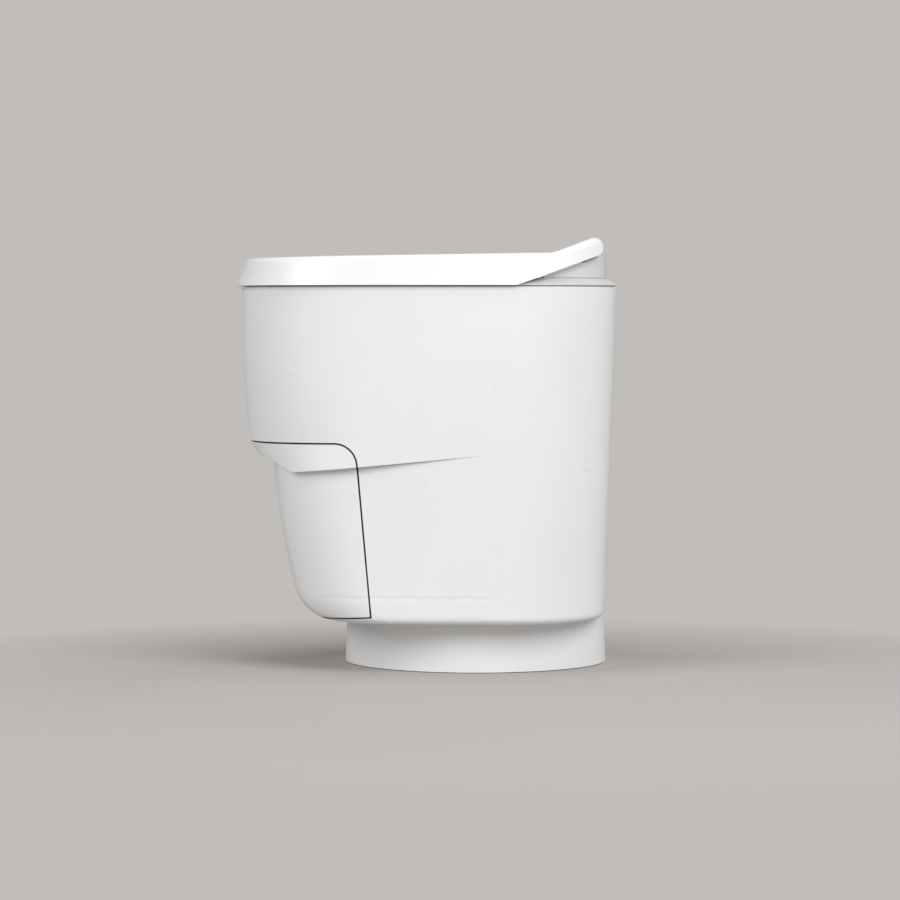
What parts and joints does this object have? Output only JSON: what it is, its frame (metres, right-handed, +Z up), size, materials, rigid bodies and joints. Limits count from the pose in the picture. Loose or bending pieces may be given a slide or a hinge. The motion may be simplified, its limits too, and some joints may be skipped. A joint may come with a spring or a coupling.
{
  "type": "sealing toilet",
  "caption": "Free-standing film-sealing toilet: flat lid over a seat, tapered body with a drawer front under a grip lip, jaws that seal the film, round swivel pedestal.",
  "frame": {"origin": "centre of the pedestal's underside, on the floor", "axes": "+Z up; the front with the drawer faces -Y; +X is the user's left when seated and the side seen in the picture"},
  "size_m": [0.3844, 0.4158, 0.4607],
  "materials": {
    "white_plastic": "satin to gloss, moulded",
    "grey_plastic": "satin, moulded",
    "dark_plastic": "matt, moulded",
    "frame_plastic": "matt, moulded",
    "container_plastic": "matt, moulded",
    "steel": "zinc-plated sheet",
    "aluminium": "milled",
    "magnet": "nickel-plated",
    "heater": "coated heating strip",
    "brass": "machined",
    "rubber": "soft",
    "silicone": "silicone",
    "film": "thin film",
    "board": "circuit board",
    "lens": "clear light guide"
  },
  "bodies": {
    "pedestal": {"pedestal": "white_plastic", "foot_ring": "rubber", "slide_ring": "frame_plastic", "hub_retainer": "dark_plastic"},
    "toilet_body": {"turntable": "steel", "turntable_screws": "steel", "stop_pin": "steel", "body_shell": "white_plastic", "runner_outer": "steel", "runner_brackets": "steel", "catch_magnets": "magnet", "deck": "dark_plastic", "deck_screws": "steel", "side_plates": "steel", "cross_members": "steel", "guide_rods": "steel", "shaft_bushes": "brass", "motor_bracket": "steel", "jaw_motor": "steel", "funnel": "frame_plastic", "funnel_screws": "steel", "cassette": "dark_plastic", "film_pack": "film", "clamp_ring": "grey_plastic", "film_liner": "film", "top_frame": "grey_plastic", "console": "grey_plastic", "hinge_pins": "steel", "fascia": "dark_plastic", "switch_board": "board", "status_lens": "lens", "power_inlet": "dark_plastic", "control_board": "board", "dome_front": "silicone", "dome_rear": "silicone"},
    "drawer": {"drawer_front": "white_plastic", "front_screws": "steel", "carriage": "steel", "container": "container_plastic", "runner_inner": "steel", "catch_plates": "steel"},
    "runner_middle": {"runner_middle": "steel"},
    "front_jaw": {"front_jaw": "aluminium", "heater_strip": "heater"},
    "rear_jaw": {"rear_jaw": "aluminium", "counter_pad": "silicone"},
    "front_roller": {"front_roller": "rubber"},
    "rear_roller": {"rear_roller": "rubber"},
    "jaw_shaft": {"jaw_shaft": "steel", "jaw_pinions": "brass", "drive_wheel": "brass"},
    "motor_rotor": {"motor_pinion": "brass"},
    "seat": {"seat": "white_plastic", "seat_buffers": "rubber"},
    "lid": {"lid": "white_plastic", "lid_buffers": "rubber"},
    "button_front": {"button_front": "grey_plastic"},
    "button_rear": {"button_rear": "grey_plastic"}
  },
  "joints": [
    {"name": "swivel", "type": "hinge", "parent": "pedestal", "child": "toilet_body", "pos_m": [0, 0, 0.054], "axis": [0, 0, 1], "range_deg": [-90, 90]},
    {"name": "seat_hinge", "type": "hinge", "parent": "toilet_body", "child": "seat", "pos_m": [0, 0.1246, 0.4507], "axis": [1, 0, 0], "range_deg": [-93, 0]},
    {"name": "lid_hinge", "type": "hinge", "parent": "seat", "child": "lid", "pos_m": [0, 0.1246, 0.4507], "axis": [-1, 0, 0], "range_deg": [0, 98]},
    {"name": "drawer_slide", "type": "slide", "parent": "toilet_body", "child": "drawer", "axis": [0, -1, 0], "range_m": [0, 0.21]},
    {"name": "runner_slide", "type": "slide", "parent": "toilet_body", "child": "runner_middle", "axis": [0, -1, 0], "range_m": [0, 0.105]},
    {"name": "front_jaw_slide", "type": "slide", "parent": "toilet_body", "child": "front_jaw", "axis": [0, 1, 0], "range_m": [0, 0.0495]},
    {"name": "rear_jaw_slide", "type": "slide", "parent": "toilet_body", "child": "rear_jaw", "axis": [0, -1, 0], "range_m": [0, 0.0495]},
    {"name": "shaft_turn", "type": "hinge", "parent": "toilet_body", "child": "jaw_shaft", "pos_m": [0, 0.028, 0.2776], "axis": [-1, 0, 0], "range_deg": [0, 189.18]},
    {"name": "motor_turn", "type": "hinge", "parent": "toilet_body", "child": "motor_rotor", "pos_m": [0, 0.0565, 0.2776], "axis": [1, 0, 0], "range_deg": [0, 409.76]},
    {"name": "front_roller_turn", "type": "hinge", "parent": "front_jaw", "child": "front_roller", "pos_m": [0, -0.12865, 0.2726], "axis": [1, 0, 0], "continuous": true},
    {"name": "rear_roller_turn", "type": "hinge", "parent": "rear_jaw", "child": "rear_roller", "pos_m": [0, -0.01535, 0.2726], "axis": [1, 0, 0], "continuous": true},
    {"name": "button_front_press", "type": "slide", "parent": "toilet_body", "child": "button_front", "axis": [1, 0, 0], "range_m": [0, 0.0013], "stiffness_N_per_m": 600, "deforming": ["dome_front"]},
    {"name": "button_rear_press", "type": "slide", "parent": "toilet_body", "child": "button_rear", "axis": [1, 0, 0], "range_m": [0, 0.0013], "stiffness_N_per_m": 600, "deforming": ["dome_rear"]}
  ],
  "couplings": [
    {"joint": "runner_slide", "follows": "drawer_slide", "ratio": 0.5},
    {"joint": "rear_jaw_slide", "follows": "front_jaw_slide", "ratio": 1},
    {"joint": "shaft_turn", "follows": "front_jaw_slide", "rad_per_m": 66.667},
    {"joint": "motor_turn", "follows": "front_jaw_slide", "rad_per_m": 144.44},
    {"joint": "rear_roller_turn", "follows": "front_roller_turn", "ratio": -1}
  ]
}
